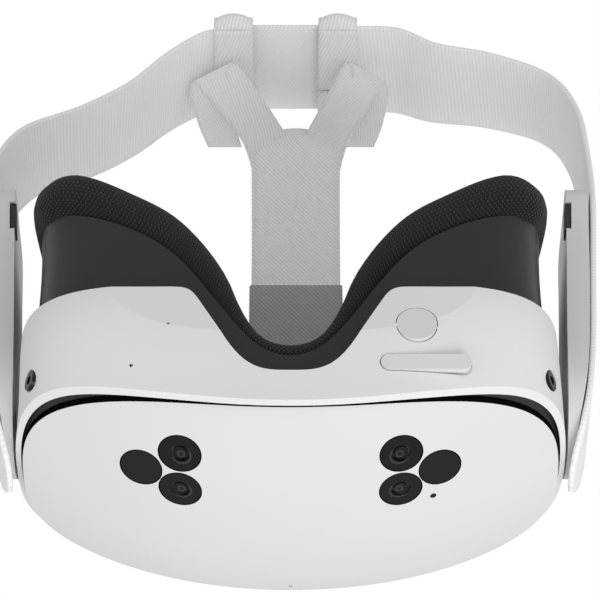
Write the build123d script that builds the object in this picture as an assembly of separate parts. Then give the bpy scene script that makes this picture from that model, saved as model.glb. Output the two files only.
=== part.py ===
from build123d import *
import math
import os

# A stand-alone head-worn display, as worn, in millimetres.
# X points to the wearer's left, Y from the visor back to the head, Z up.
# Z = 0 is the flat of the housing's underside, which the headset stands on.
# The shapes are drawn with Y = 0 at the tip of the visor, and are written out
# moved forward, so that the origin is below the middle of the whole headset.

os.makedirs("parts", exist_ok=True)

# ---------------------------------------------------------------- driving sizes
VISOR_WIDTH = 168.0
VISOR_HEIGHT = 92.0
VISOR_MID_Z = 54.0
VISOR_POWER = 2.86          # roundness of the visor's outline, 2 being an ellipse
VISOR_THICK = 2.2
RIM_SET_BACK = 1.2          # of the housing's front rim, behind the visor's dome
RIM_DROP = 6.0              # lowers that dome, so the rim is forward below and back above
FRONT_RADIUS_PLAN = 180.0   # curve of the visor seen from above
FRONT_RADIUS_SIDE = 110.0   # curve of the visor seen from the side

RIM_Y = 52.0                # rear rim of the housing at the cheeks
RIM_TOP_Y = 57.0
NOSE_DEPTH = 31.5           # how far the nose notch cuts into the rim
NOSE_HALF_WIDTH = 34.0
SPLIT_Z = 50.0              # height where the cheek shapes meet the forehead shapes

WINDOW_DIAMETER = 13.0
WINDOWS = {                 # x and z on the visor, wearer's left side
    "camera_upper": (34.0, 40.2),
    "camera_lower": (33.9, 26.2),
    "infrared": (46.0, 34.1),
}
STATUS_LED = (-44.2, 45.5)
FRONT_MICROPHONE = (0.0, 95.0)
SIDE_CAMERA_AT = (80.9, 30.5, 19.3)
SIDE_CAMERA_AXIS = (0.897, 0.0, -0.443)
SIDE_CAMERA_DIAMETER = 6.4

ACTION_AT = (-38.6, 37.0)
ACTION_DIAMETER = 12.4
ROCKER_AT = (-41.2, 23.5, 2.2)
ROCKER_TILT = -11.0         # degrees, to lie in the sloping part of the underside
ROCKER_LENGTH = 27.5
ROCKER_WIDTH = 5.2
UNDER_MICROPHONES = [(37.4, 37.0, 3.7), (48.4, 23.9, 8.8)]
SIDE_CONTROLS_X = 85.4
SIDE_CONTROLS_Y = 31.0

EYE_X = 32.0                # half the default distance between the pupils
EYE_Z = 54.0
BARREL_DIAMETER = 46.0
BARREL_FRONT_Y = 31.0
BARREL_REAR_Y = 48.0
LENS_TRAVEL = 2.5

ARM_Z = 54.0
ARM_HEIGHT = 42.0
ARM_FRONT_Y = 25.0
ARM_REAR_Y = 128.0
ARM_CORNER = 8.0
ARM_SPLAY = 3.2             # degrees that the rear half of the arms opens towards the head strap
# The left arm in plan: its inner face, the seam between its two shells, and its outer face.
ARM_INNER = [(87.1, 22), (87.3, 38), (88.8, 75), (91.4, 132)]
ARM_SEAM = [(87.9, 22), (89.2, 40), (92.6, 75), (96.4, 132)]
ARM_OUTER = [(88.6, 22), (90.4, 30), (93.2, 43), (95.4, 63), (97.0, 90), (99.2, 132)]
SPEAKER_AT = (92.3, 104, 56)
GRILLE_AT = (91.2, 113.5, 36)
PIVOT_Y = 43.0

BAND_THICK = 2.0
STRAP_FRONT_Y = 20.0
BAND_MID_Y = 232.0
BAND_LOW_Z = 59.0
BAND_HIGH_Z = 102.0
MID_Y = (BAND_MID_Y + 3.5) / 2  # halfway from the visor to the back of the strap loops
TOP_STRAP_X = -2.0
TOP_STRAP_WIDTH = 31.0
TOP_STRAP_Z = 100.7
TOP_STRAP_THICK = 1.6
JUNCTION_Y = 204.0
FORK_WIDTH = 14.0
LOOP_X = {"left": 20.5, "right": -17.0}
FOLD_AT = {"left": (27.7, 221.5, 75.5), "right": (-26.3, 221.5, 75.5)}
TAIL_END_X = {"left": 21.0, "right": -22.0}


# ---------------------------------------------------------------- shared shapes
def signed_power(value, power):
    return math.copysign(abs(value) ** power, value)


def section(y, half_width, z_low, z_high, power, points=40):
    """A superellipse across the headset at depth y."""
    mid = (z_low + z_high) / 2
    half_height = (z_high - z_low) / 2
    ring = []
    for i in range(points):
        turn = 2 * math.pi * (i + 0.5) / points
        x = half_width * signed_power(math.cos(turn), 2 / power)
        z = mid + half_height * signed_power(math.sin(turn), 2 / power)
        ring.append((x, y, z))
    return make_face(Spline(ring, periodic=True))


def behind_front(offset):
    """All that lies behind the visor's front surface, set back by offset."""
    radius = FRONT_RADIUS_SIDE - offset
    reach = 62.0
    sag = radius - math.sqrt(radius ** 2 - reach ** 2)
    low = (0, offset + sag, VISOR_MID_Z - reach)
    high = (0, offset + sag, VISOR_MID_Z + reach)
    back = 125.0
    arc = ThreePointArc(low, (0, offset, VISOR_MID_Z), high)
    rest = Polyline(high, (0, back, high[2]), (0, back, low[2]), low)
    axis = Axis((0, FRONT_RADIUS_PLAN, 0), (0, 0, 1))
    side = make_face([arc, rest]).rotate(axis, -52)
    return revolve(side, axis, 104)


def front_point(x, z, offset=0.0):
    """The point of the visor's front surface at x and z, and its outward normal."""
    lift = z - VISOR_MID_Z
    radius = FRONT_RADIUS_SIDE
    from_axis = FRONT_RADIUS_PLAN - (radius - math.sqrt(radius ** 2 - lift ** 2))
    y = FRONT_RADIUS_PLAN - math.sqrt(from_axis ** 2 - x ** 2)
    tilt = math.asin(lift / radius)
    plan = math.asin(x / from_axis)
    normal = Vector(
        math.cos(tilt) * math.sin(plan),
        -math.cos(tilt) * math.cos(plan),
        math.sin(tilt),
    )
    return Vector(x, y, z) - normal * offset, normal


def rod_on_front(x, z, diameter, start, length):
    """A rod square to the visor at x and z, from start below the surface, inwards."""
    point, normal = front_point(x, z, start)
    return extrude(Plane(point, z_dir=normal * -1) * Circle(diameter / 2), length)


def visor_outline(grow):
    half_height = VISOR_HEIGHT / 2 + grow
    return section(
        0,
        VISOR_WIDTH / 2 + grow,
        VISOR_MID_Z - half_height,
        VISOR_MID_Z + half_height,
        VISOR_POWER,
    )


def along_y(face, y_from, y_to):
    return extrude(Pos(0, y_from, 0) * face, y_to - y_from, dir=(0, 1, 0))


def mirror_x(shape):
    return mirror(shape, about=Plane.YZ)


def both_sides(points):
    """Points given for the left side, run from the right side across the nose."""
    right = [(-x, y) for x, y in reversed(points) if x > 0]
    return right + points


def between_plans(front, rear, z_from, z_to):
    """The space between two curves in plan, from one height to another."""
    lower = Spline([(x, y, z_from) for x, y in front])
    upper = Spline([(x, y, z_from) for x, y in rear])
    left = Line(lower @ 1, upper @ 1)
    right = Line(upper @ 0, lower @ 0)
    return extrude(make_face([lower, left, upper, right]), z_to - z_from, dir=(0, 0, 1))


def bell(x):
    """1 at the nose, falling smoothly to 0 at the edge of the notch."""
    if abs(x) >= NOSE_HALF_WIDTH:
        return 0.0
    return 0.5 + 0.5 * math.cos(math.pi * (abs(x) / NOSE_HALF_WIDTH) ** 1.7)


def rim_plan(shift=0.0):
    xs = [-95, -60] + [4 * i for i in range(-10, 11)] + [60, 95]
    return [(x, RIM_Y + shift - NOSE_DEPTH * bell(x)) for x in xs]


FAR_PLAN = [(-95, 190), (0, 190), (95, 190)]
FOAM_FRONT = [(0, 28.5), (8, 31), (14, 36.5), (20, 45), (26, 54.5), (38, 71.5), (60, 87.5), (86, 98)]
FOAM_REAR = [
    (0, 33.5), (8, 37.5), (14, 46), (20, 61), (28, 79),
    (40, 93), (60, 106.5), (72, 110), (80, 108.5), (86, 104),
]
BROW_FRONT = [(0, 78), (45, 84.5), (86, 100)]
BROW_REAR = [(0, 92), (45, 98), (86, 112)]


# ---------------------------------------------------------------- visor and housing
def front_cover():
    skin = along_y(visor_outline(0), -5, 60) & (behind_front(0) - behind_front(VISOR_THICK))
    for side in (1, -1):
        for x, z in WINDOWS.values():
            skin -= rod_on_front(side * x, z, WINDOW_DIAMETER + 0.8, -4, 12)
    skin -= rod_on_front(*STATUS_LED, 2.0, -4, 12)
    skin -= rod_on_front(*FRONT_MICROPHONE, 1.2, -4, 12)
    return skin


def vent_trim():
    band = behind_front(VISOR_THICK + 0.2) - behind_front(VISOR_THICK + 2.4)
    trim = along_y(visor_outline(4.0), -5, 60) & band & housing_inner()
    for side in (1, -1):
        for x, z in WINDOWS.values():
            trim -= rod_on_front(side * x, z, WINDOW_DIAMETER + 0.8, -4, 16)
        trim -= side_camera_rod(side, SIDE_CAMERA_DIAMETER + 0.5, 3, 12)
    trim -= rod_on_front(*STATUS_LED, 2.0, -4, 16)
    trim -= rod_on_front(*FRONT_MICROPHONE, 1.2, -4, 16)
    return trim


def housing_outer():
    return loft([
        section(-8, 86.4, 4.8, 103.2, 2.86),
        section(12, 86.6, 4.4, 103.6, 2.9),
        section(36, 85.4, -0.4, 104.0, 3.9),
        section(60, 84.0, -0.5, 104.0, 5.0),
    ])


def housing_inner():
    return loft([
        section(-9, 85.2, 6.4, 101.6, 2.86),
        section(12, 85.2, 6.2, 101.6, 2.9),
        section(36, 83.2, 2.2, 101.8, 3.9),
        section(61, 81.8, 2.2, 101.8, 5.0),
    ])


def rim_cut(shift=0.0):
    lower = between_plans(rim_plan(shift), FAR_PLAN, -20, SPLIT_Z)
    upper = Pos(0, RIM_TOP_Y + shift + 70, SPLIT_Z + 40) * Box(220, 140, 80)
    return lower + upper


def rocker_outline(grow):
    return SlotOverall(ROCKER_LENGTH + 2 * grow, ROCKER_WIDTH + 2 * grow)


def main_housing():
    shell = (housing_outer() - housing_inner()) & (Pos(0, 0, -RIM_DROP) * behind_front(RIM_SET_BACK))
    shell &= Pos(0, 40, 60) * Box(200, 130, 120)
    shell -= rim_cut()
    shell -= Pos(*ACTION_AT, -1) * extrude(Circle(ACTION_DIAMETER / 2 + 0.3), 8)
    shell -= rocker_place() * extrude(rocker_outline(0.3), 4, both=True)
    for x, y, _ in UNDER_MICROPHONES:
        shell -= Pos(x, y, -1) * extrude(Circle(0.55), 11)
    for side in (1, -1):
        shell -= side_camera_rod(side, SIDE_CAMERA_DIAMETER + 0.5, 3, 12)
        shell -= Pos(side * 84, PIVOT_Y, ARM_Z) * Rot(0, 90, 0) * Cylinder(2.55, 12)
    shell -= side_control(64) * Cylinder(3.9, 10)
    shell -= side_control(44) * extrude(SlotOverall(9.6, 3.8), 5, both=True)
    return shell


def rocker_place():
    return Pos(*ROCKER_AT) * Rot(ROCKER_TILT, 0, 0)


def side_control(z):
    """A place on the wearer's left flank of the housing, its axis pointing outwards."""
    return Pos(SIDE_CONTROLS_X, SIDE_CONTROLS_Y, z) * Rot(0, 90, 0)


def side_camera_rod(side, diameter, outside, length):
    x, y, z = SIDE_CAMERA_AT
    axis = Vector(side * SIDE_CAMERA_AXIS[0], 0, SIDE_CAMERA_AXIS[2])
    start = Vector(side * x, y, z) + axis * outside
    return extrude(Plane(start, z_dir=axis * -1) * Circle(diameter / 2), length)


def window_module(side, name):
    """A round camera or lamp window with its can behind it."""
    x, z = WINDOWS[name]
    window = rod_on_front(side * x, z, WINDOW_DIAMETER, 0.25, 4.5)
    can = rod_on_front(side * x, z, WINDOW_DIAMETER - 3, 4.7, 4.0)
    if name != "infrared":
        window -= rod_on_front(side * x, z, 6.0, 0, 1.2)
        window += rod_on_front(side * x, z, 4.2, 0.7, 1.0)
    return window + can


def side_camera(side):
    body = side_camera_rod(side, SIDE_CAMERA_DIAMETER, -0.1, 6.0)
    return body - side_camera_rod(side, 3.0, 0.0, 0.8)


def status_led():
    return rod_on_front(*STATUS_LED, 1.6, 0.1, 6)


def microphones():
    parts = [rod_on_front(*FRONT_MICROPHONE, 2.4, VISOR_THICK + 3.2, 1.2)]
    for x, y, z in UNDER_MICROPHONES:
        parts.append(Pos(x, y, z) * Cylinder(0.9, 1.0))
    return Compound(children=parts)


def action_button():
    cap = Pos(*ACTION_AT, 0.15) * extrude(Circle(ACTION_DIAMETER / 2), 2.4)
    cap += Pos(*ACTION_AT, 2.5) * extrude(Circle(ACTION_DIAMETER / 2 - 2), 1.2)
    return cap


def volume_rocker():
    cap = extrude(rocker_outline(0), 2.4) + Pos(0, 0, 2.4) * extrude(SlotOverall(16, 4), 1.0)
    return rocker_place() * cap


def power_button():
    return side_control(64) * Cylinder(3.6, 2.6)


def usb_port():
    shell = extrude(SlotOverall(9.2, 3.4), 4)
    mouth = Pos(0, 0, 0.8) * extrude(SlotOverall(8.4, 2.6), 4)
    tongue = Pos(0, 0, 1.8) * Box(6.4, 0.8, 2.4)
    return side_control(44) * Pos(0, 0, -3.8) * (shell - mouth + tongue)


# ---------------------------------------------------------------- optics and electronics
def nose_tunnel(grow):
    return Pos(0, 0, 3) * Rot(90, 0, 0) * Ellipse(26 + grow, 30 + grow)


def bezel():
    plate = along_y(section(0, 80.6, 3.4, 100.6, 4.6), 43.5, 46)
    nose = along_y(nose_tunnel(0), 0, 80)
    pocket = along_y(nose_tunnel(2), 23, 46) - along_y(nose_tunnel(0), 25, 80)
    frame = plate - nose + pocket
    frame &= Pos(0, 40, 62) * Box(200, 60, 98)
    frame -= Pos(0, 30, 3) * Box(60, 60, 41)
    for side in (1, -1):
        hole = SlotOverall(BARREL_DIAMETER + 2 * LENS_TRAVEL + 1.2, BARREL_DIAMETER + 1.2)
        frame -= Pos(side * EYE_X, 50, EYE_Z) * Rot(90, 0, 0) * extrude(hole, 20)
    return frame


def lens_barrel(side):
    ring = Cylinder(BARREL_DIAMETER / 2, BARREL_REAR_Y - BARREL_FRONT_Y)
    ring -= Cylinder(BARREL_DIAMETER / 2 - 2, 40)
    mid_y = (BARREL_FRONT_Y + BARREL_REAR_Y) / 2
    return Pos(side * EYE_X, mid_y, EYE_Z) * Rot(90, 0, 0) * ring


def lens(side):
    radius = BARREL_DIAMETER / 2 - 2
    disc = Cylinder(radius, 3.0)
    for step in range(1, 8):
        ring_radius = radius * step / 8
        groove = Cylinder(ring_radius + 0.35, 0.5) - Cylinder(ring_radius - 0.35, 0.5)
        disc -= Pos(0, 0, 1.3) * groove
    return Pos(side * EYE_X, BARREL_REAR_Y - 3.0, EYE_Z) * Rot(-90, 0, 0) * disc


def display_panel():
    return Pos(0, 28.6, EYE_Z + 3.5) * Box(118, 1.6, 42)


def mainboard():
    board = Pos(0, 18.6, 57) * Box(96, 1.4, 54)
    for x, z, size in ((0, 60, 16), (26, 50, 12), (-28, 66, 10)):
        board += Pos(x, 20.0, z) * Box(size, 1.6, size)
    return board


def heat_sink():
    block = Pos(0, 16.4, 62) * Box(44, 2.4, 40)
    for i in range(9):
        block += Pos(-20 + 5 * i, 12.9, 62) * Box(1.4, 4.6, 40)
    return block


def fan_housing():
    box = Pos(0, 24.2, 86) * Box(38, 6.4, 24)
    box -= Pos(0, 24.2, 86) * Rot(90, 0, 0) * Cylinder(11.2, 5.0)
    box -= Pos(0, 26.5, 86) * Rot(90, 0, 0) * Cylinder(7.5, 4.0)
    return box


def fan_rotor():
    rotor = Cylinder(4.0, 4.0)
    for i in range(11):
        rotor += Rot(0, 0, 360 / 11 * i) * Pos(6.6, 0, 0) * Rot(0, 0, 20) * Box(7.2, 0.8, 4.0)
    return Pos(0, 24.2, 86) * Rot(90, 0, 0) * rotor


def battery():
    return Pos(0, 36.5, 88.5) * Box(70, 10, 17)


def bezel_screws():
    screws = []
    for x, z in ((-72, 54), (72, 54), (-60, 90), (60, 90), (-60, 16), (60, 16)):
        screw = Pos(x, 46.35, z) * Rot(90, 0, 0) * Cylinder(1.9, 0.7)
        screws.append(screw)
    return Compound(children=screws)


# ---------------------------------------------------------------- face
def shell_outer():
    return loft([
        section(12, 80.2, 8.6, 97.0, 4.4),
        section(52, 80.9, 3.8, 98.2, 4.8),
        section(84, 80.4, 5.4, 98.0, 5.4),
        section(116, 83.4, 8.6, 98.0, 7.5),
    ])


def shell_inner():
    return loft([
        section(11, 77.8, 11.0, 94.4, 4.4),
        section(52, 78.4, 6.4, 95.7, 4.8),
        section(84, 77.9, 8.0, 95.4, 5.4),
        section(117, 80.9, 11.2, 95.4, 7.5),
    ])


def facial_interface():
    """The flared shell that carries the face cushion and plugs into the housing."""
    wall = shell_outer() - shell_inner()
    lower_front = rim_plan(-4.5)
    lower = between_plans(lower_front, both_sides(FOAM_FRONT), 0, SPLIT_Z)
    upper_front = [(-95, 49), (0, 49), (95, 49)]
    upper = between_plans(upper_front, both_sides(BROW_FRONT), SPLIT_Z, 110)
    return wall & (lower + upper)


def face_cushion():
    outer = along_y(section(0, 84.4, 8.2, 98.4, 7.5), 0, 130)
    inner = along_y(section(0, 69.5, 23.0, 85.0, 3.6), -1, 131)
    lower = between_plans(both_sides(FOAM_FRONT), both_sides(FOAM_REAR), 0, SPLIT_Z)
    upper = between_plans(both_sides(BROW_FRONT), both_sides(BROW_REAR), SPLIT_Z, 110)
    return (outer - inner) & (lower + upper)


# ---------------------------------------------------------------- arms
def arm_outline():
    """The arm seen from the side: a half round front end and a softly squared rear end."""
    radius = ARM_HEIGHT / 2
    front_mid = ARM_FRONT_Y + radius
    low = ARM_Z - radius
    high = ARM_Z + radius
    front = ThreePointArc((0, front_mid, low), (0, ARM_FRONT_Y, ARM_Z), (0, front_mid, high))
    top = Line((0, front_mid, high), (0, ARM_REAR_Y - ARM_CORNER, high))
    back = Spline(
        [(0, ARM_REAR_Y - ARM_CORNER, high), (0, ARM_REAR_Y, ARM_Z), (0, ARM_REAR_Y - ARM_CORNER, low)],
        tangents=[(0, 1, 0), (0, -1, 0)],
    )
    bottom = Line((0, ARM_REAR_Y - ARM_CORNER, low), (0, front_mid, low))
    return make_face([front, top, back, bottom])


def arm_layer(inner, outer):
    """The part of the left arm between two of its curves in plan."""
    near = Spline([(x, y, 0) for x, y in inner])
    far = Spline([(x, y, 0) for x, y in outer])
    plan = make_face([near, Line(near @ 1, far @ 1), far, Line(far @ 0, near @ 0)])
    return extrude(plan, 130, dir=(0, 0, 1)) & extrude(arm_outline(), 120, dir=(1, 0, 0))


def on_side(shape, side):
    if side > 0:
        return shape
    return mirror_x(shape)


def in_arm(x, y, z):
    """A place inside the arm, turned to lie along it."""
    return Pos(x, y, z) * Rot(0, 0, -ARM_SPLAY)


def arm_shell(side):
    shell = arm_layer(ARM_INNER, ARM_SEAM)
    shell -= in_arm(*SPEAKER_AT) * Box(2.8, 27, 18)
    shell -= in_arm(*GRILLE_AT) * Box(2.4, 12, 7)
    return on_side(shell, side)


def arm_cover(side):
    return on_side(arm_layer(ARM_SEAM, ARM_OUTER), side)


def speaker(side):
    return on_side(in_arm(*SPEAKER_AT) * Box(2.2, 26, 16), side)


def speaker_grille(side):
    x, y, z = GRILLE_AT
    return on_side(in_arm(x, y, z + 0.5) * Box(2.0, 11.6, 5.6), side)


def arm_pivot(side):
    pin = Cylinder(2.5, 6.4) + Pos(0, 0, -2.8) * Cylinder(3.9, 0.8)
    return Pos(side * 84.15, PIVOT_Y, ARM_Z) * Rot(0, side * 90, 0) * pin


# ---------------------------------------------------------------- straps
def ribbon(plan, thick, z_low, z_high):
    """A strap standing on edge that follows a curve in plan."""
    path = Spline([(x, y, z_low) for x, y in plan])
    edges = []
    for sign in (1, -1):
        points = []
        for i in range(len(plan) * 2 - 1):
            at = i / (len(plan) * 2 - 2)
            run = path % at
            points.append(path @ at + Vector(-run.Y, run.X, 0) * (sign * thick / 2))
        edges.append(Spline(points))
    near, far = edges
    start = Line(near @ 0, far @ 0)
    end = Line(near @ 1, far @ 1)
    return extrude(make_face([near, end, far, start]), z_high - z_low, dir=(0, 0, 1))


def strap_side_view():
    """The strap seen from the side: level along the arm, then rising to the rear band."""
    half = ARM_HEIGHT / 2 - 1.5
    front_mid = STRAP_FRONT_Y + half
    profile = Polyline(
        (0, front_mid, ARM_Z - half),
        (0, ARM_REAR_Y, ARM_Z - half),
        (0, 205, BAND_LOW_Z - 3),
        (0, 260, BAND_LOW_Z),
        (0, 260, BAND_HIGH_Z),
        (0, 205, BAND_HIGH_Z - 3),
        (0, ARM_REAR_Y, ARM_Z + half),
        (0, front_mid, ARM_Z + half),
        close=True,
    )
    straight = extrude(make_face(profile), 130, dir=(1, 0, 0), both=True)
    round_end = Pos(0, front_mid, ARM_Z) * Rot(0, 90, 0) * Cylinder(half, 260)
    return straight + round_end


STRAP_ON_ARM = [(88.4, 19), (90.2, 25), (92.0, 31), (94.6, 43), (96.8, 63), (98.6, 92), (100.3, 122)]
STRAP_BEHIND_ARM = {
    "left": [(101.0, 146), (92, 174), (73, 191), (57, 205), (44, 221), (30.2, 231.4)],
    "right": [(101.0, 150), (100.2, 180), (92, 204), (72, 219), (52, 223.5), (38, 231.4)],
}


def strap_plan(name):
    """Along the outside of the arm, then the free curve to the rear band."""
    plan = STRAP_ON_ARM + STRAP_BEHIND_ARM[name]
    sign = 1 if name == "left" else -1
    return [(sign * x, y) for x, y in plan]


def side_strap(name):
    return ribbon(strap_plan(name), BAND_THICK, 10, 120) & strap_side_view()


def rear_band():
    plan = [(29.6, 231.6), (10, BAND_MID_Y), (-15, BAND_MID_Y), (-36.4, 231.6)]
    return ribbon(plan, BAND_THICK, BAND_LOW_Z, BAND_HIGH_Z)


def top_strap():
    front_y = RIM_TOP_Y - 6
    length = JUNCTION_Y - front_y
    strap = Box(TOP_STRAP_WIDTH, length, TOP_STRAP_THICK)
    return Pos(TOP_STRAP_X, front_y + length / 2, TOP_STRAP_Z) * strap


def strap_anchor():
    """The doubled webbing under the front stretch of the top strap."""
    under = TOP_STRAP_Z - TOP_STRAP_THICK / 2
    return Pos(TOP_STRAP_X, 101, under - 0.6) * Box(TOP_STRAP_WIDTH + 1, 82, 1.2)


def leaning_strip(start, end, width, thick):
    """A flat strip between two points, its width level across the headset."""
    a = Vector(*start)
    b = Vector(*end)
    run = b - a
    across = Vector(-run.Y, run.X, 0).normalized()
    plane = Plane((a + b) * 0.5, x_dir=across, z_dir=across.cross(run))
    return plane * Box(width, run.length, thick)


def fork(name):
    """One arm of the Y: from the junction to the fold, and back as a short tail."""
    fold = FOLD_AT[name]
    start = (TOP_STRAP_X + math.copysign(8.0, fold[0]), JUNCTION_Y + 5.6, 99.5)
    strand = leaning_strip(start, fold, FORK_WIDTH, 1.5)
    tail_start = (fold[0], fold[1] + 1.2, fold[2] + 1.0)
    tail = leaning_strip(tail_start, (TAIL_END_X[name], 214.5, 100.5), FORK_WIDTH, 1.5)
    return strand + tail


def loop(name):
    outer = Box(FORK_WIDTH, 7.0, BAND_HIGH_Z - BAND_LOW_Z + 3.0)
    inner = Box(FORK_WIDTH + 2, 4.4, BAND_HIGH_Z - BAND_LOW_Z + 0.8)
    mid_z = (BAND_LOW_Z + BAND_HIGH_Z) / 2
    return Pos(LOOP_X[name], BAND_MID_Y, mid_z) * (outer - inner)


# ---------------------------------------------------------------- write the nodes
def all_nodes():
    nodes = {
        "front_cover": front_cover(),
        "vent_trim": vent_trim(),
        "main_housing": main_housing(),
        "status_led": status_led(),
        "microphones": microphones(),
        "action_button": action_button(),
        "volume_rocker": volume_rocker(),
        "power_button": power_button(),
        "usb_port": usb_port(),
        "lens_bezel": bezel(),
        "bezel_screws": bezel_screws(),
        "display_panel": display_panel(),
        "mainboard": mainboard(),
        "heat_sink": heat_sink(),
        "fan_housing": fan_housing(),
        "fan_rotor": fan_rotor(),
        "battery": battery(),
        "facial_interface": facial_interface(),
        "face_cushion": face_cushion(),
        "rear_band": rear_band(),
        "top_strap": top_strap(),
        "strap_anchor": strap_anchor(),
    }
    for name, side in (("left", 1), ("right", -1)):
        for window in WINDOWS:
            nodes[f"{window}_{name}"] = window_module(side, window)
        nodes[f"side_camera_{name}"] = side_camera(side)
        nodes[f"lens_barrel_{name}"] = lens_barrel(side)
        nodes[f"lens_{name}"] = lens(side)
        nodes[f"arm_shell_{name}"] = arm_shell(side)
        nodes[f"arm_cover_{name}"] = arm_cover(side)
        nodes[f"speaker_{name}"] = speaker(side)
        nodes[f"speaker_grille_{name}"] = speaker_grille(side)
        nodes[f"arm_pivot_{name}"] = arm_pivot(side)
        nodes[f"side_strap_{name}"] = side_strap(name)
        nodes[f"fork_{name}"] = fork(name)
        nodes[f"loop_{name}"] = loop(name)
    return nodes


for node_name, shape in all_nodes().items():
    export_step(Pos(0, -MID_Y, 0) * shape, f"parts/{node_name}.step")
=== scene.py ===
import math

import bpy
from mathutils import Matrix, Vector

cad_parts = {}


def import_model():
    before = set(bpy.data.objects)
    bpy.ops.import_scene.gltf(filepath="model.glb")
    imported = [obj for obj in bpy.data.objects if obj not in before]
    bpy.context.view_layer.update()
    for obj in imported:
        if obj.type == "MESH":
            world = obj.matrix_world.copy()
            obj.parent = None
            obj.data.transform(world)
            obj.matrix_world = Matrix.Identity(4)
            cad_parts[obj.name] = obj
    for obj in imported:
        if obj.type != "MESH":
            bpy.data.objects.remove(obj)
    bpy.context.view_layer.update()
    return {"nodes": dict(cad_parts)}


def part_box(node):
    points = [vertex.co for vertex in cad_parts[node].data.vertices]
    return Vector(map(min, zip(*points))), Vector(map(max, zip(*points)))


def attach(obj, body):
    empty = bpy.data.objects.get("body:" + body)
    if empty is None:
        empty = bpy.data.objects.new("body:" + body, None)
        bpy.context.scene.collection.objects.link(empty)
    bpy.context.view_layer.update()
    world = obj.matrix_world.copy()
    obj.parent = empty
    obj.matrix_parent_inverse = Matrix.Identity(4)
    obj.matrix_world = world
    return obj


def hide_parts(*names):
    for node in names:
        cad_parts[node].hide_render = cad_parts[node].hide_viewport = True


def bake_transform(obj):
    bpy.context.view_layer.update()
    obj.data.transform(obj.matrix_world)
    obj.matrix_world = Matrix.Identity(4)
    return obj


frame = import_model()
NODES = frame["nodes"]

# Y of the visor's tip in the row frame; the shapes below are drawn in
# millimetres from there, as in the CAD.
FRONT_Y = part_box("front_cover")[0][1]


def V(x, y, z):
    """A point given in millimetres behind the visor's tip, in the row frame."""
    return Vector((x / 1000, FRONT_Y + y / 1000, z / 1000))


# ------------------------------------------------------------------ materials
class Nodes:
    """A new node material with a few short ways to add to it."""

    def __init__(self, name, color, roughness, **sockets):
        self.material = bpy.data.materials.new(name)
        self.material.use_nodes = True
        self.tree = self.material.node_tree
        self.shader = self.tree.nodes["Principled BSDF"]
        self.shader.inputs["Base Color"].default_value = (*color, 1)
        self.shader.inputs["Roughness"].default_value = roughness
        for key, value in sockets.items():
            self.shader.inputs[key.replace("_", " ")].default_value = value

    def add(self, kind, values=None, **settings):
        node = self.tree.nodes.new(kind)
        for key, value in settings.items():
            setattr(node, key, value)
        for key, value in (values or {}).items():
            if isinstance(value, bpy.types.NodeSocket):
                self.tree.links.new(value, node.inputs[key])
            else:
                node.inputs[key].default_value = value
        return node

    def place(self, source="Object"):
        return self.add("ShaderNodeTexCoord").outputs[source]

    def split(self, source):
        """X, Y and Z of one of the texture coordinates, by name."""
        return self.add("ShaderNodeSeparateXYZ", {"Vector": self.place(source)}).outputs

    def noise(self, scale, detail=2.0):
        values = {"Vector": self.place(), "Scale": scale, "Detail": detail}
        return self.add("ShaderNodeTexNoise", values).outputs["Fac"]

    def math(self, operation, a, b=0.0):
        return self.add("ShaderNodeMath", {0: a, 1: b}, operation=operation).outputs[0]

    def vector(self, operation, a, b, output="Vector"):
        node = self.add("ShaderNodeVectorMath", {0: a, 1: b}, operation=operation)
        return node.outputs[output]

    def ramp(self, factor, low, high, from_min=0.0, from_max=1.0):
        values = {
            "Value": factor,
            "From Min": from_min,
            "From Max": from_max,
            "To Min": low,
            "To Max": high,
        }
        return self.add("ShaderNodeMapRange", values).outputs[0]

    def mix_colors(self, factor, dark, light):
        mix = self.add("ShaderNodeMix", data_type="RGBA")
        self.tree.links.new(factor, mix.inputs["Factor"])
        mix.inputs["A"].default_value = (*dark, 1)
        mix.inputs["B"].default_value = (*light, 1)
        return mix.outputs["Result"]

    def color(self, socket):
        self.tree.links.new(socket, self.shader.inputs["Base Color"])

    def roughness(self, socket):
        self.tree.links.new(socket, self.shader.inputs["Roughness"])

    def bump(self, height, strength, distance):
        values = {"Height": height, "Strength": strength, "Distance": distance}
        bump = self.add("ShaderNodeBump", values)
        self.tree.links.new(bump.outputs["Normal"], self.shader.inputs["Normal"])

    def overlay(self, amount, shader):
        """Puts another shader over this one where amount is 1."""
        mix = self.add("ShaderNodeMixShader", {0: amount, 1: self.shader.outputs[0], 2: shader.outputs[0]})
        output = self.tree.nodes["Material Output"]
        self.tree.links.new(mix.outputs[0], output.inputs["Surface"])


def grey(value):
    return (value, value, value)


GRAIN_DEPTH = 0.00006
TONE_PATCHES = 26.0


def moulded(name, dark, light, roughness, grain=2600.0, strength=0.10, **sockets):
    """Moulded plastic: a fine spark-eroded grain and a faint unevenness of tone."""
    m = Nodes(name, light, roughness, **sockets)
    m.color(m.mix_colors(m.noise(TONE_PATCHES, 3.0), dark, light))
    m.roughness(m.ramp(m.noise(90.0, 4.0), roughness - 0.05, roughness + 0.05))
    m.bump(m.noise(grain, 3.0), strength, GRAIN_DEPTH)
    return m.material


def rib_waves(m, split, pitch, angle):
    """Slanted ribs on a strap's own flat coordinates: a wave from 0 to 0.5."""
    turn = math.radians(angle)
    slanted = m.math(
        "ADD",
        m.math("MULTIPLY", split["X"], math.cos(turn) / pitch),
        m.math("MULTIPLY", split["Y"], math.sin(turn) / pitch),
    )
    return m.math("PINGPONG", slanted, 0.5)


RIB_PITCH = 0.0012
YARN_SHARE = 0.42
YARN_TURN = 68
RIB_DEPTH = 0.0004


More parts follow.
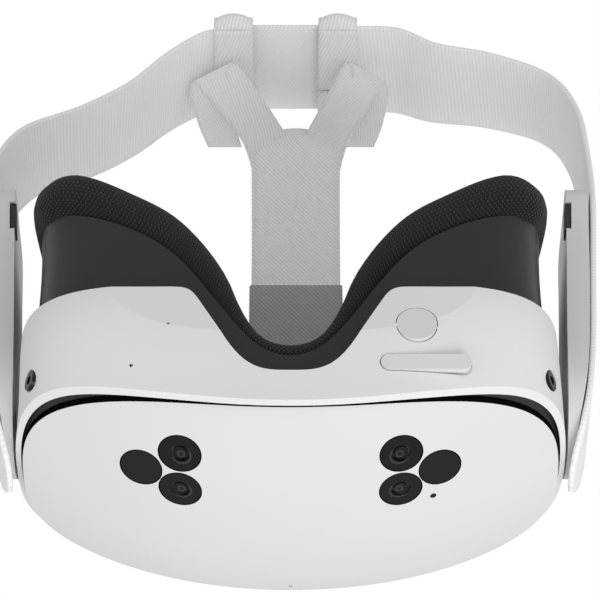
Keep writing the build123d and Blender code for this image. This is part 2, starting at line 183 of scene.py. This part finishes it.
def webbing(name, dark, light, angle, strength):
    """Elastic webbing: slanted twill ribs, each made of short twisted yarns; the grooves between the ribs
    are painted darker as painted shade, over a random unevenness of tone.
    """
    m = Nodes(name, light, 0.88, Sheen_Weight=0.25, Sheen_Roughness=0.5, Specular_IOR_Level=0.2)
    flat = m.split("UV")
    rib = rib_waves(m, flat, RIB_PITCH, angle)
    yarn = rib_waves(m, flat, RIB_PITCH * YARN_SHARE, angle - YARN_TURN)
    rib_height = m.math("SMOOTH_MAX", rib, 0.08)
    height = m.math("ADD", m.math("MULTIPLY", rib_height, 1.6), m.math("MULTIPLY", yarn, 0.5))
    # Painted shade in the rib grooves, plus random tone from the noise.
    tone = m.math("ADD", m.ramp(rib, 0.0, 0.8, 0.0, 0.3), m.ramp(m.noise(40.0, 3.0), 0.0, 0.25))
    m.color(m.mix_colors(tone, dark, light))
    m.bump(height, strength, RIB_DEPTH)
    return m.material


STITCH_PITCH = 0.0011
STITCH_ANGLE = 38


def knit(name, dark, light):
    """A knitted cover: staggered round loops over the foam, their tops painted lighter and the gaps
    between them darker, as painted light and shade.
    """
    m = Nodes(name, dark, 0.9, Sheen_Weight=0.12, Sheen_Roughness=0.6, Specular_IOR_Level=0.15)
    flat = m.split("UV")
    rising = rib_waves(m, flat, STITCH_PITCH, STITCH_ANGLE)
    falling = rib_waves(m, flat, STITCH_PITCH, -STITCH_ANGLE)
    loops = m.math("MULTIPLY", m.math("MULTIPLY", rising, falling), 4.0)
    # Painted light and shade: lighter on the loops' tops, darker between them.
    m.color(m.mix_colors(m.ramp(loops, 0.0, 1.0, 0.25, 0.75), dark, light))
    m.bump(loops, 0.7, 0.0005)
    return m.material


def paint_black_shade(m, amount):
    """Paints matt black shade over the material where amount is 1: painted shade in the ventilation gap.
    """
    m.overlay(amount, m.add("ShaderNodeBsdfDiffuse", {"Color": (*grey(0.006), 1)}))


# The visor's edge is where the Y part of the surface's normal is under this; there it gets painted black
# shade.
VISOR_EDGE_FACING = 0.35


def visor_white():
    """White over the dome; painted shade, matt black, on the edge that faces the ventilation gap."""
    m = Nodes("visor_white", grey(0.77), 0.42)
    m.color(m.mix_colors(m.noise(TONE_PATCHES, 3.0), grey(0.715), grey(0.745)))
    m.bump(m.noise(3200.0, 3.0), 0.06, GRAIN_DEPTH)
    facing = m.math("ABSOLUTE", m.split("Normal")["Y"])
    paint_black_shade(m, m.math("LESS_THAN", facing, VISOR_EDGE_FACING))
    return m.material


# The back end of the ventilation gap, on the housing's long axis.
GAP_END = V(0, 34, 54)
# A wall faces that axis where its distance from it, taken along its normal,
# is under this, in metres.
INWARD_LIMIT = -0.012


def housing_white():
    """White outside; painted shade, matt black, on the inner wall behind the visor's edge."""
    m = Nodes("housing_white", grey(0.765), 0.46)
    m.color(m.mix_colors(m.noise(TONE_PATCHES, 3.0), grey(0.775), grey(0.805)))
    m.bump(m.noise(2600.0, 3.0), 0.10, GRAIN_DEPTH)
    from_axis = m.vector("SUBTRACT", m.place(), (0, 0, GAP_END.z))
    from_axis = m.vector("MULTIPLY", from_axis, (1, 0, 1))
    outward = m.vector("DOT_PRODUCT", from_axis, m.place("Normal"), "Value")
    at_front = m.math("LESS_THAN", m.split("Object")["Y"], GAP_END.y)
    inner_wall = m.math("LESS_THAN", outward, INWARD_LIMIT)
    paint_black_shade(m, m.math("MULTIPLY", inner_wall, at_front))
    return m.material


def lens_material():
    m = Nodes("lens_clear", (0.9, 0.93, 0.95), 0.05, Transmission_Weight=0.9, IOR=1.49)
    m.roughness(m.ramp(m.noise(300.0), 0.03, 0.09))
    return m.material


def grille_material():
    """Fine metal mesh: a dark sheet with its holes painted darker still, as painted shade."""
    m = Nodes("grille_mesh", grey(0.02), 0.6)
    holes = m.add("ShaderNodeTexVoronoi", {"Vector": m.place(), "Scale": 1100.0}).outputs["Distance"]
    # Painted shade in the holes.
    m.color(m.mix_colors(m.ramp(holes, 0, 1, 0.2, 0.5), grey(0.004), grey(0.03)))
    m.bump(holes, 0.6, 0.0003)
    return m.material


# The lens behind a camera window, in shares of the window's width.
LENS_RADIUS = 0.30
LENS_STEPS = 14.0


def camera_window():
    """Glossy black glass with the steps of the camera lens behind it painted on as lighter rings: painted
    highlights for the glints off the lens.
    """
    m = Nodes("camera_window", (0.008, 0.008, 0.009), 0.10, Specular_IOR_Level=0.2)
    across = m.split("Generated")
    dx = m.math("SUBTRACT", across["X"], 0.5)
    dz = m.math("SUBTRACT", across["Z"], 0.5)
    radius = m.math("SQRT", m.math("ADD", m.math("MULTIPLY", dx, dx), m.math("MULTIPLY", dz, dz)))
    steps = m.math("PINGPONG", m.math("MULTIPLY", radius, LENS_STEPS), 1.0)
    inside = m.math("LESS_THAN", radius, LENS_RADIUS)
    # Painted highlights: lighter rings where the lens's steps would catch glints.
    tone = m.math("MULTIPLY", m.math("POWER", steps, 4.0), inside)
    m.color(m.mix_colors(tone, (0.006, 0.006, 0.007), (0.06, 0.06, 0.065)))
    m.roughness(m.ramp(m.noise(200.0), 0.08, 0.14))
    return m.material


def metal(name, dark, light, roughness):
    return moulded(name, dark, light, roughness, 900.0, 0.1, Metallic=1.0)


CAMERA_WINDOW = camera_window()
LENS = lens_material()
GRILLE = grille_material()
WHITE = housing_white()
WHITE_VISOR = visor_white()
WHITE_BUTTON = moulded("button_white", grey(0.72), grey(0.75), 0.40)
ARM_WHITE = moulded("arm_white", grey(0.68), grey(0.72), 0.44)
BLACK_TRIM = moulded("gap_black", grey(0.012), grey(0.018), 0.5)
BLACK_SATIN = moulded("interface_black", (0.009, 0.009, 0.010), (0.014, 0.014, 0.015), 0.33, 1800.0)
BARREL_BLACK = moulded("barrel_black", grey(0.014), grey(0.02), 0.6)
WINDOW = moulded("window_gloss", (0.006, 0.006, 0.007), (0.009, 0.009, 0.010), 0.12, 400.0, 0.0,
                 Specular_IOR_Level=0.22)
BOARD = moulded("board_green", (0.02, 0.11, 0.05), (0.03, 0.15, 0.07), 0.5, 300.0)
ALUMINIUM = metal("aluminium", (0.62, 0.62, 0.63), (0.72, 0.72, 0.73), 0.35)
STEEL = metal("pin_steel", (0.45, 0.45, 0.46), (0.55, 0.55, 0.56), 0.32)
SCREW = metal("screw_black", grey(0.10), grey(0.16), 0.4)
CELL = moulded("cell_wrap", (0.09, 0.09, 0.10), (0.12, 0.12, 0.13), 0.45)
PANEL = moulded("panel_dark", (0.012, 0.012, 0.016), (0.02, 0.02, 0.026), 0.15, 300.0, 0.0)
KNIT = knit("cushion_knit", grey(0.004), grey(0.036))
TWILL_FORK = webbing("webbing_fork", grey(0.74), grey(0.95), 70, 0.45)
TWILL_FINE = webbing("webbing_fine", grey(0.84), grey(0.97), 30, 0.25)
TWILL_COARSE = webbing("webbing_coarse", grey(0.68), grey(0.95), -52, 0.5)
# Darker grey webbing: painted shadow on the anchor under the top strap's front stretch.
TWILL_PAINTED_SHADOW = webbing("webbing_painted_shadow", grey(0.26), grey(0.42), -52, 0.5)

CAD_FINISH = {
    "front_cover": WHITE_VISOR,
    "main_housing": WHITE,
    "vent_trim": BLACK_TRIM,
    "status_led": WINDOW,
    "microphones": BLACK_TRIM,
    "action_button": WHITE_BUTTON,
    "volume_rocker": WHITE_BUTTON,
    "power_button": WHITE_BUTTON,
    "usb_port": STEEL,
    "lens_bezel": BARREL_BLACK,
    "bezel_screws": SCREW,
    "display_panel": PANEL,
    "mainboard": BOARD,
    "heat_sink": ALUMINIUM,
    "fan_housing": BARREL_BLACK,
    "fan_rotor": BARREL_BLACK,
    "battery": CELL,
    "facial_interface": BLACK_SATIN,
}
SIDED_FINISH = {
    "camera_upper": CAMERA_WINDOW,
    "camera_lower": CAMERA_WINDOW,
    "infrared": WINDOW,
    "side_camera": WINDOW,
    "lens_barrel": BARREL_BLACK,
    "lens": LENS,
    "arm_shell": ARM_WHITE,
    "arm_cover": ARM_WHITE,
    "speaker": CELL,
    "speaker_grille": GRILLE,
    "arm_pivot": STEEL,
}


def dress(name, finish):
    """Gives every material slot of a CAD node the same finish."""
    node = NODES[name]
    if not node.material_slots:
        node.data.materials.append(finish)
    for slot in node.material_slots:
        slot.material = finish


for name, finish in CAD_FINISH.items():
    dress(name, finish)
for stem, finish in SIDED_FINISH.items():
    for side in ("left", "right"):
        dress(f"{stem}_{side}", finish)


# ------------------------------------------------------------------ mesh tools
def new_piece(name, verts, faces, uvs, material, body):
    """A mesh piece with one UV per face corner, riding on a body if one is named."""
    mesh = bpy.data.meshes.new(name)
    mesh.from_pydata([tuple(v) for v in verts], [], faces)
    layer = mesh.uv_layers.new(name="flat")
    for polygon, corners in zip(mesh.polygons, uvs):
        for loop_index, uv in zip(polygon.loop_indices, corners):
            layer.data[loop_index].uv = uv
    mesh.materials.append(material)
    mesh.validate()
    mesh.shade_smooth()
    obj = bpy.data.objects.new(name, mesh)
    bpy.context.scene.collection.objects.link(obj)
    if body:
        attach(obj, body)
    return obj


def catmull_rom(points, per_span):
    """Points of a smooth curve through the given ones."""
    out = []
    last = len(points) - 1
    for i in range(last):
        p0 = points[max(i - 1, 0)]
        p1 = points[i]
        p2 = points[i + 1]
        p3 = points[min(i + 2, last)]
        for step in range(per_span):
            t = step / per_span
            slope = (p2 - p0) * t
            square = (2 * p0 - 5 * p1 + 4 * p2 - p3) * t ** 2
            cube = (3 * p1 - p0 - 3 * p2 + p3) * t ** 3
            out.append(0.5 * (2 * p1 + slope + square + cube))
    out.append(points[last].copy())
    return out


def running_lengths(points):
    """The length along a line of points, at each of them."""
    lengths = [0.0]
    for before, after in zip(points, points[1:]):
        lengths.append(lengths[-1] + (after - before).length)
    return lengths


# A strap's flat faces end at this share of its half width; beyond it they
# close to a thin edge.
SELVEDGE = 0.975
SECTION_STEPS = 8
STRAP_STEPS = 8


def strap_section():
    """(across, lift) pairs round a strap's section, both from -1 to 1."""
    span = [SELVEDGE * (2 * k / SECTION_STEPS - 1) for k in range(SECTION_STEPS + 1)]
    upper = [(s, 1) for s in span]
    lower = [(s, -1) for s in reversed(span)]
    return [(-1.0, 0.0), *upper, (1.0, 0.0), *lower]


def ribbon_points(edge_a, edge_b, bows, thick, section):
    """The section's points at every step along two edge curves."""
    mids = [(p + q) / 2 for p, q in zip(edge_a, edge_b)]
    last = len(mids) - 1
    points = []
    for i, middle in enumerate(mids):
        run = (mids[min(i + 1, last)] - mids[max(i - 1, 0)]).normalized()
        across = (edge_b[i] - edge_a[i]) / 2
        normal = across.cross(run).normalized()
        for s, lift in section:
            rise = lift * thick / 2 + bows[i] * (1 - s * s)
            points.append(middle + across * s + normal * rise)
    return points, running_lengths(mids)


def ribbon_faces(section, lengths, half_width):
    """Faces round, along and across the ends of a ribbon, with flat coordinates in metres."""
    size = len(section)
    across = [s * half_width for s, _ in section]
    faces = []
    uvs = []
    for i, (u0, u1) in enumerate(zip(lengths, lengths[1:])):
        here = i * size
        there = here + size
        for k in range(size):
            j = (k + 1) % size
            faces.append((here + k, here + j, there + j, there + k))
            uvs.append([(u0, across[k]), (u0, across[j]), (u1, across[j]), (u1, across[k])])
    last = (len(lengths) - 1) * size
    faces.append(tuple(reversed(range(size))))
    uvs.append([(lengths[0], s) for s in reversed(across)])
    faces.append(tuple(range(last, last + size)))
    uvs.append([(lengths[-1], s) for s in across])
    return faces, uvs


def strap(name, edges, thick, material, body, per_span=STRAP_STEPS, bow=None):
    """A ribbon of webbing between two edge curves given in millimetres.

    bow lifts the middle of the ribbon off its edges, by a value for each edge point."""
    edge_a, edge_b = [catmull_rom([V(*p) for p in edge], per_span) for edge in edges]
    bow = bow or [0] * len(edges[0])
    bows = [p.x for p in catmull_rom([Vector((value / 1000, 0, 0)) for value in bow], per_span)]
    section = strap_section()
    verts, lengths = ribbon_points(edge_a, edge_b, bows, thick / 1000, section)
    faces, uvs = ribbon_faces(section, lengths, (edge_b[0] - edge_a[0]).length / 2)
    obj = new_piece(name, verts, faces, uvs, material, body)
    obj["flat_length"] = lengths[-1]
    return obj


# ------------------------------------------------------------------ face cushion
# The outer outline and the opening, seen from the front, in millimetres.
CUSHION_MIDDLE_Z = 52.6
CUSHION_HALF_WIDTH = 85.0
CUSHION_HALF_HEIGHT = 46.4
CUSHION_POWER = 7.0
CHEEK_TOP = 14
BROW_BOTTOM = 40
BROW_FULL = 66
BROW_NARROWING = 3.6
OPENING_MIDDLE_Z = 54
OPENING_HALF_WIDTH = 69.5
OPENING_HALF_HEIGHT = 31
OPENING_POWER = 3.6
SIDE_THINNING = 0.175

# The same edges in plan, as (x, y): over the nose and cheeks, then the brow as
# (y in the middle, y added at its half width).
CHEEK_FRONT = [(0, 26.5), (8, 28.2), (14, 32.5), (20.5, 41), (26.5, 53.5), (32, 62), (40, 70.5),
               (60, 85.5), (73, 92), (80, 95), (84, 100), (87, 105)]
CHEEK_REAR = [(0, 35.5), (6.3, 37.2), (11, 42), (15.7, 52.2), (20.5, 66.4), (28.7, 81), (38.5, 92.8),
              (51.5, 102), (64.7, 110.2), (72.5, 112.5), (80, 110), (87, 102)]
BROW_FRONT = (78, 26)
BROW_REAR = (92, 20)
BROW_HALF_WIDTH = 86

CHEEK_STEPS = 12
BROW_END = 90
BROW_STEP = 4

PAD_STATIONS = 260
PAD_SECTION_POINTS = 20
PAD_ROUNDNESS = 0.62
PAD_GIRTH = 0.058


def between(value, low, high):
    """0 up to low, 1 from high on, and even steps between them."""
    return min(1, max(0, (value - low) / (high - low)))


def signed_power(value, power):
    return math.copysign(abs(value) ** power, value)


def on_table(points, x):
    """The value at abs(x) on straight lines through a list of (x, y) points."""
    x = abs(x)
    for (x0, y0), (x1, y1) in zip(points, points[1:]):
        if x <= x1:
            return y0 + (y1 - y0) * (x - x0) / (x1 - x0)
    return points[-1][1]


def cheek_edge(points):
    """A smooth plan edge through points that are given for the left half."""
    both_sides = [(-x, y) for x, y in reversed(points) if x > 0] + points
    curve = catmull_rom([Vector((x, y, 0)) for x, y in both_sides], CHEEK_STEPS)
    return [(p.x, p.y) for p in curve if p.x >= -1e-6]


def brow_edge(middle, rise):
    """A plan edge that curves back evenly from the middle of the forehead."""
    return [(x, middle + rise * (x / BROW_HALF_WIDTH) ** 2) for x in range(0, BROW_END, BROW_STEP)]


def cushion_outline(turn):
    """(x, z) of the outer edge and of the opening's edge, at an angle round the cushion."""
    c = math.cos(turn)
    s = math.sin(turn)
    reach = (abs(c) ** CUSHION_POWER + abs(s) ** CUSHION_POWER) ** (-1 / CUSHION_POWER)
    outer_z = CUSHION_MIDDLE_Z + CUSHION_HALF_HEIGHT * s * reach
    half_width = CUSHION_HALF_WIDTH - BROW_NARROWING * between(outer_z, CHEEK_TOP, BROW_BOTTOM)
    outer_x = half_width * c * reach
    inner_x = outer_x * (1 - SIDE_THINNING * (abs(outer_x) / CUSHION_HALF_WIDTH) ** 3)
    side = min(1, abs(inner_x) / OPENING_HALF_WIDTH)
    height = OPENING_HALF_HEIGHT * (1 - side ** OPENING_POWER) ** (1 / OPENING_POWER)
    inner_z = OPENING_MIDDLE_Z + math.copysign(height, outer_z - CUSHION_MIDDLE_Z)
    return (outer_x, outer_z), (inner_x, inner_z)


def cushion_corners(cheek, brow, turn):
    """The section's corners: front and rear of the outer edge, then of the opening's."""
    outline = cushion_outline(turn)
    blend = between(outline[0][1], BROW_BOTTOM, BROW_FULL)
    blend = blend * blend * (3 - 2 * blend)
    corners = []
    for x, z in outline:
        for low, high in zip(cheek, brow):
            y = on_table(low, x) * (1 - blend) + on_table(high, x) * blend
            corners.append(V(x, y, z))
    return corners


def pad_section(corners):
    """A section with round corners inside four straight ones."""
    outer_front, outer_rear, inner_front, inner_rear = corners
    points = []
    for j in range(PAD_SECTION_POINTS):
        phi = 2 * math.pi * j / PAD_SECTION_POINTS
        out = (signed_power(math.cos(phi), PAD_ROUNDNESS) + 1) / 2
        back = (signed_power(math.sin(phi), PAD_ROUNDNESS) + 1) / 2
        front = inner_front * (1 - out) + outer_front * out
        rear = inner_rear * (1 - out) + outer_rear * out
        points.append(front * (1 - back) + rear * back)
    return points


def ring_faces(lengths):
    """Faces of a closed ring of sections, with flat coordinates in metres."""
    faces = []
    uvs = []
    for i in range(PAD_STATIONS):
        here = i * PAD_SECTION_POINTS
        there = (i + 1) % PAD_STATIONS * PAD_SECTION_POINTS
        for j in range(PAD_SECTION_POINTS):
            j2 = (j + 1) % PAD_SECTION_POINTS
            faces.append((here + j, here + j2, there + j2, there + j))
            v0 = PAD_GIRTH * j / PAD_SECTION_POINTS
            v1 = PAD_GIRTH * (j + 1) / PAD_SECTION_POINTS
            uvs.append([(lengths[i], v0), (lengths[i], v1), (lengths[i + 1], v1), (lengths[i + 1], v0)])
    return faces, uvs


def face_cushion():
    """The knitted ring of foam round the wearer's eyes."""
    cheek = (cheek_edge(CHEEK_FRONT), cheek_edge(CHEEK_REAR))
    brow = (brow_edge(*BROW_FRONT), brow_edge(*BROW_REAR))
    turns = [2 * math.pi * i / PAD_STATIONS - math.pi / 2 for i in range(PAD_STATIONS)]
    stations = [cushion_corners(cheek, brow, turn) for turn in turns]
    verts = [point for corners in stations for point in pad_section(corners)]
    lengths = running_lengths([sum(corners, Vector((0, 0, 0))) / 4 for corners in stations])
    lengths.append(lengths[-1] + (verts[0] - verts[-PAD_SECTION_POINTS]).length)
    faces, uvs = ring_faces(lengths)
    obj = new_piece("cushion_ring", verts, faces, uvs, KNIT, "face_unit")
    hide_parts("face_cushion")


face_cushion()

# ------------------------------------------------------------------ straps
# The side webbing in plan and in height, in millimetres: round at its front
# end, then level along the arm. Each entry is (x, y, low z, high z).
ON_ARM = [
    (88.3, 19.8, 50.0, 58.0),
    (89.0, 21.5, 44.5, 63.5),
    (90.4, 25.5, 40.2, 67.8),
    (92.0, 31.0, 36.8, 71.2),
    (94.5, 43.0, 34.6, 73.4),
    (96.7, 63.0, 34.4, 73.6),
    (98.5, 92.0, 34.4, 73.6),
    (100.2, 121.0, 35.0, 74.0),
]

# Behind the arm it rises to the rear band. Its low and its high edge are each
# a list of (x, y, z), with x away from the middle; the two sides lie unevenly.
LEFT_LOW = [(100.6, 143, 41), (93, 170, 50), (73.5, 187, 56), (57, 201.5, 58.5), (44, 218, 60),
            (32, 228.4, 60), (24.5, 230.6, 60)]
LEFT_HIGH = [(100.8, 145, 79), (91, 176, 90), (71.5, 192, 96), (57, 206, 99.5), (44, 221, 101.5),
             (32, 229.6, 101.7), (24.5, 230.6, 101.7)]
RIGHT_LOW = [(100.8, 148, 42), (99.2, 179, 49), (91, 202, 55), (72, 216, 58.5), (52, 222, 59),
             (38, 229.6, 58.6), (20.5, 230.6, 59)]
RIGHT_HIGH = [(101, 151, 78), (100.2, 183, 87), (92.5, 207, 95), (73, 221.5, 101), (52, 225.5, 101.8),
              (38, 230.4, 101.8), (20.5, 230.6, 101.8)]

SIDE_THICK = 1.8
SIDE_STEPS = 10


def side_strap(side, sign, behind_low, behind_high):
    """Side webbing from the front of an arm to the rear band; sign is that of x."""
    low = [(x, y, z) for x, y, z, _ in ON_ARM] + behind_low
    high = [(x, y, z) for x, y, _, z in ON_ARM] + behind_high
    edges = [[(sign * x, y, z) for x, y, z in edge] for edge in (low, high)]
    body = f"strap_arm_{side}"
    obj = strap(f"side_webbing_{side}", edges, SIDE_THICK, TWILL_FINE, body, SIDE_STEPS)
    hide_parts(f"side_strap_{side}")


BAND_X = (26.5, 10, -10, -22.5)
BAND_Y = 232.4
BAND_LOW = 60
BAND_HIGH = 101.7


def rear_band():
    """The band at the back of the head, which joins the two side straps."""
    edges = [[(x, BAND_Y, z) for x in BAND_X] for z in (BAND_LOW, BAND_HIGH)]
    obj = strap("rear_webbing", edges, SIDE_THICK, TWILL_FINE, "strap_arm_left")
    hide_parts("rear_band")


# The arms of the Y strap, by the edge on the wearer's right and the edge on
# the wearer's left. Each edge is a strand down to the loop, a fold through it
# and a tail that comes back up.
FORK_LEFT = [
    [
        (-3.5, 203, 101.0), (-0.5, 212, 101.0), (3.6, 217.5, 96),
        (12.5, 221.5, 81), (18.6, 225.0, 73.2), (20.6, 225.6, 71.6),
        (22.6, 223.5, 76), (20.5, 217, 92), (17.8, 212.6, 101.8),
    ],
    [
        (13.6, 196, 101.0), (14.6, 203, 101.0), (18.0, 210, 95.5),
        (26.8, 216.5, 86), (33.6, 222.0, 80.4), (35.6, 222.8, 79.4),
        (36.4, 221.0, 84), (33.5, 216, 94), (30.2, 212.6, 101.8),
    ],
]
FORK_RIGHT = [
    [
        (-17.6, 196, 101.0), (-18.6, 203, 101.0), (-21.5, 210, 95.5),
        (-28.2, 216.5, 86), (-33.2, 222.0, 80.4), (-35.0, 222.8, 79.4),
        (-35.6, 221.0, 84), (-33.5, 216, 94), (-30.5, 212.6, 101.8),
    ],
    [
        (-0.5, 203, 101.0), (-3.5, 212, 101.0), (-7.2, 217.5, 96),
        (-14.5, 221.5, 81), (-18.8, 225.0, 73.2), (-20.6, 225.6, 71.6),
        (-22.0, 223.5, 76), (-20.5, 217, 92), (-18.5, 212.6, 101.8),
    ],
]
FORK_THICK = 1.4


def fork(side, edges):
    """One arm of the Y strap: strand, fold and tail in one piece of webbing."""
    obj = strap(f"fork_webbing_{side}", edges, FORK_THICK, TWILL_FORK, "strap_arm_left")
    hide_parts(f"fork_{side}")


# The loops round the rear band, as (y, z, bow): down the front face of the
# band, out round its lower edge, up behind it and over the top.
LOOP_PATH = [
    (228.6, 88, 0), (228.6, 63, -0.3), (229.3, 59.6, -1.6), (232, 58.4, -3.0),
    (234.4, 59.6, -1.6), (235.1, 63, -0.2), (235.1, 99.5, 0), (234.4, 102.6, 0),
    (232, 103.2, 0), (229.6, 102.6, 0), (228.6, 99.5, 0), (228.6, 89, 0),
]
LOOP_WIDTH = 14
LOOP_THICK = 1.1
LOOP_STEPS = 5


def loop(side, mid_x):
    """A closed loop of webbing round the rear band."""
    bow = [lift for _, _, lift in LOOP_PATH]
    edges = []
    for x in (mid_x - LOOP_WIDTH / 2, mid_x + LOOP_WIDTH / 2):
        edges.append([(x, y, z) for y, z, _ in LOOP_PATH])
    name = f"loop_webbing_{side}"
    obj = strap(name, edges, LOOP_THICK, TWILL_FORK, "strap_arm_left", LOOP_STEPS, bow)
    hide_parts(f"loop_{side}")


TOP_MIDDLE_X = -1.9


def level_edges(stations):
    """Both edges of a strap that lies level over the head, from (y, half width, z)."""
    edges = []
    for side in (-1, 1):
        edges.append([(TOP_MIDDLE_X + side * half, y, z) for y, half, z in stations])
    return edges


def bend_with_arms(obj):
    """Bakes the strap's placement into its mesh."""
    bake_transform(obj)


TOP_THICK = 1.5
TOP_STATIONS = [
    (56, 15.5, 100.7), (80, 15.5, 100.7), (110, 15.5, 100.7), (140, 15.6, 100.7),
    (165, 15.7, 100.7), (190, 15.9, 100.7), (203, 16.0, 99.4), (208, 15.4, 99.4),
    (212.5, 13.2, 99.4), (216, 9.6, 99.4), (218.2, 4.8, 99.4), (218.8, 1.5, 99.4),
]


def top_strap():
    """The strap over the head, cut to a round end between the forks."""
    obj = strap("top_webbing", level_edges(TOP_STATIONS), TOP_THICK, TWILL_COARSE, None)
    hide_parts("top_strap")
    bend_with_arms(obj)


ANCHOR_HALF = 16.3
ANCHOR_THICK = 1.2
ANCHOR_PATH = [(58, 99.3), (80, 99.3), (110, 99.4), (135, 99.5), (142, 99.7)]


def strap_anchor():
    """The doubled webbing under the front stretch of the top strap. Its darker grey is painted shadow, the
    shade that falls on it near the nose.
    """
    stations = [(y, ANCHOR_HALF, z) for y, z in ANCHOR_PATH]
    obj = strap("anchor_webbing", level_edges(stations), ANCHOR_THICK, TWILL_PAINTED_SHADOW, None)
    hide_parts("strap_anchor")
    bend_with_arms(obj)


side_strap("left", 1, LEFT_LOW, LEFT_HIGH)
side_strap("right", -1, RIGHT_LOW, RIGHT_HIGH)
rear_band()
fork("left", FORK_LEFT)
fork("right", FORK_RIGHT)
loop("left", mid_x=20.5)
loop("right", mid_x=-17.0)
top_strap()
strap_anchor()


# ------------------------------------------------------------------ studio
FLOOR_HALF = 4
FLOOR_DROP = 0.0002


def floor():
    """A pale floor under the headset. Only its top side shows, so that the
    low camera, which looks up at the underside, sees the headset through it."""
    h = FLOOR_HALF
    mesh = bpy.data.meshes.new("floor")
    mesh.from_pydata([(-h, -h, 0), (h, -h, 0), (h, h, 0), (-h, h, 0)], [], [(0, 1, 2, 3)])
    obj = bpy.data.objects.new("floor", mesh)
    bpy.context.scene.collection.objects.link(obj)
    m = Nodes("floor_pale", grey(0.86), 0.8)
    m.color(m.mix_colors(m.noise(3.0), grey(0.85), grey(0.87)))
    underside = m.add("ShaderNodeNewGeometry").outputs["Backfacing"]
    m.overlay(underside, m.add("ShaderNodeBsdfTransparent"))
    mesh.materials.append(m.material)
    obj.visible_diffuse = False
    obj.visible_glossy = False
    obj.visible_transmission = False
    obj.visible_shadow = False
    obj.location.z = -FLOOR_DROP


def area_light(name, place, target, size, watts):
    data = bpy.data.lights.new(name, "AREA")
    data.shape = "DISK"
    data.size = size
    data.energy = watts
    light = bpy.data.objects.new(name, data)
    bpy.context.scene.collection.objects.link(light)
    light.location = place
    direction = Vector(target) - Vector(place)
    light.rotation_euler = direction.to_track_quat("-Z", "Y").to_euler()


# Strength of the sky ahead of the headset and behind it, reached where the
# direction's Y is this far from 0.
SKY_FRONT = 1.04
SKY_REAR = 0.60
SKY_SPAN = 0.9


def world():
    """A white ground behind the headset. The light that falls on the headset
    is softer, and stronger from the front than from behind."""
    scene = bpy.context.scene
    scene.world = bpy.data.worlds.new("studio")
    scene.world.use_nodes = True
    tree = scene.world.node_tree
    seen = tree.nodes["Background"]
    seen.inputs["Color"].default_value = (1, 1, 1, 1)
    seen.inputs["Strength"].default_value = 1.0
    light = tree.nodes.new("ShaderNodeBackground")
    place = tree.nodes.new("ShaderNodeTexCoord")
    split = tree.nodes.new("ShaderNodeSeparateXYZ")
    tree.links.new(place.outputs["Generated"], split.inputs[0])
    strength = tree.nodes.new("ShaderNodeMapRange")
    strength.inputs["From Min"].default_value = SKY_SPAN
    strength.inputs["From Max"].default_value = -SKY_SPAN
    strength.inputs["To Min"].default_value = SKY_REAR
    strength.inputs["To Max"].default_value = SKY_FRONT
    tree.links.new(split.outputs["Y"], strength.inputs["Value"])
    tree.links.new(strength.outputs[0], light.inputs["Strength"])
    mix = tree.nodes.new("ShaderNodeMixShader")
    path = tree.nodes.new("ShaderNodeLightPath")
    tree.links.new(path.outputs["Is Camera Ray"], mix.inputs[0])
    tree.links.new(light.outputs[0], mix.inputs[1])
    tree.links.new(seen.outputs[0], mix.inputs[2])
    tree.links.new(mix.outputs[0], tree.nodes["World Output"].inputs["Surface"])


CAMERA_TARGET = V(0, 83, 46)
CAMERA_DISTANCE = 1.050
CAMERA_ELEVATION = math.radians(48.4)
SENSOR_WIDTH = 36.0
FOCAL_LENGTH = 193.44
SHIFT_X = 0.015833
SHIFT_Y = 0.017333


def camera():
    """Looks up from below and in front, rolled over, so that the headset's
    underside is at the top of the picture."""
    slope = (math.cos(CAMERA_ELEVATION), math.sin(CAMERA_ELEVATION))
    forward = Vector((0, slope[0], slope[1]))
    up = Vector((0, slope[1], -slope[0]))
    right = Vector((-1, 0, 0))
    data = bpy.data.cameras.new("camera")
    data.sensor_width = SENSOR_WIDTH
    data.lens = FOCAL_LENGTH
    data.shift_x = SHIFT_X
    data.shift_y = SHIFT_Y
    data.clip_start = 0.01
    obj = bpy.data.objects.new("camera", data)
    bpy.context.scene.collection.objects.link(obj)
    turn = Matrix((right, up, -forward)).transposed().to_4x4()
    obj.matrix_world = Matrix.Translation(CAMERA_TARGET - forward * CAMERA_DISTANCE) @ turn
    bpy.context.scene.camera = obj


floor()
world()
camera()
area_light("key", place=(-0.5, -1.3, -0.5), target=(0, 0, 0.05), size=0.9, watts=7)
bpy.context.scene.view_settings.view_transform = "Standard"
